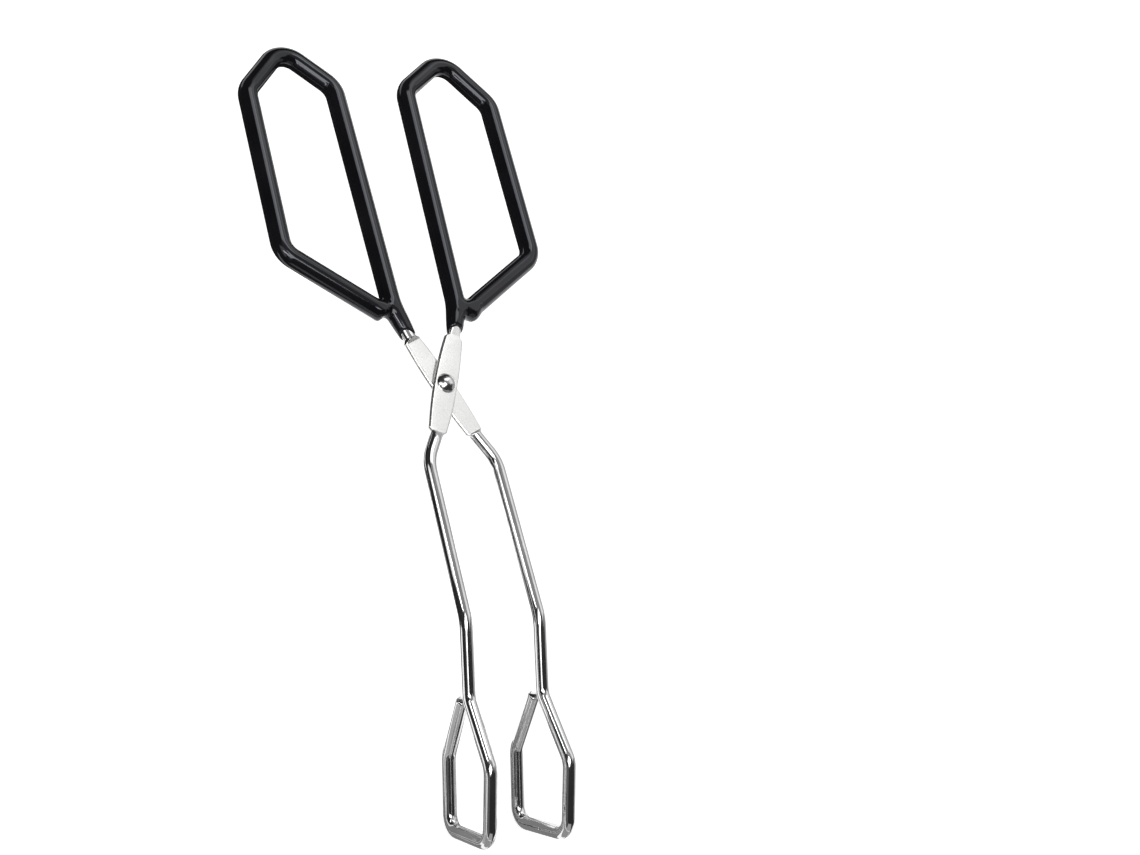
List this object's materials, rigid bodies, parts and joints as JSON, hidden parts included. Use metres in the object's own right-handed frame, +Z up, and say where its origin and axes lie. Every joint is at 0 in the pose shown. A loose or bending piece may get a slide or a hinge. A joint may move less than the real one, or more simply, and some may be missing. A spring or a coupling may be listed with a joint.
{
  "type": "scissor kitchen tongs",
  "caption": "Riveted scissor tongs of plated steel wire, with black dipped finger loops and open wire jaws cranked below the pivot plane.",
  "frame": {"origin": "on the surface under the jaws, below the middle of the tongs' bounding box", "axes": "+Z up along the rivet, square to the scissor plane; +Y from the jaws towards the handle loops; +X to the right seen from above with the handles away"},
  "size_m": [0.104, 0.2874, 0.0477],
  "materials": {
    "plated_wire": "bright plating on drawn steel wire, satin on the pressed flats",
    "black_vinyl": "glossy dipped vinyl",
    "plated_rivet": "bright plating"
  },
  "bodies": {
    "left_half": {"left_handle_arm": "plated_wire", "left_grip_coating": "black_vinyl", "pivot_rivet": "plated_rivet"},
    "right_half": {"right_handle_arm": "plated_wire", "right_grip_coating": "black_vinyl"}
  },
  "joints": [
    {"name": "pivot_hinge", "type": "hinge", "parent": "left_half", "child": "right_half", "pos_m": [0, 0.01034, 0.04327], "axis": [0, 0, -1], "range_deg": [-8.5, 60]}
  ]
}
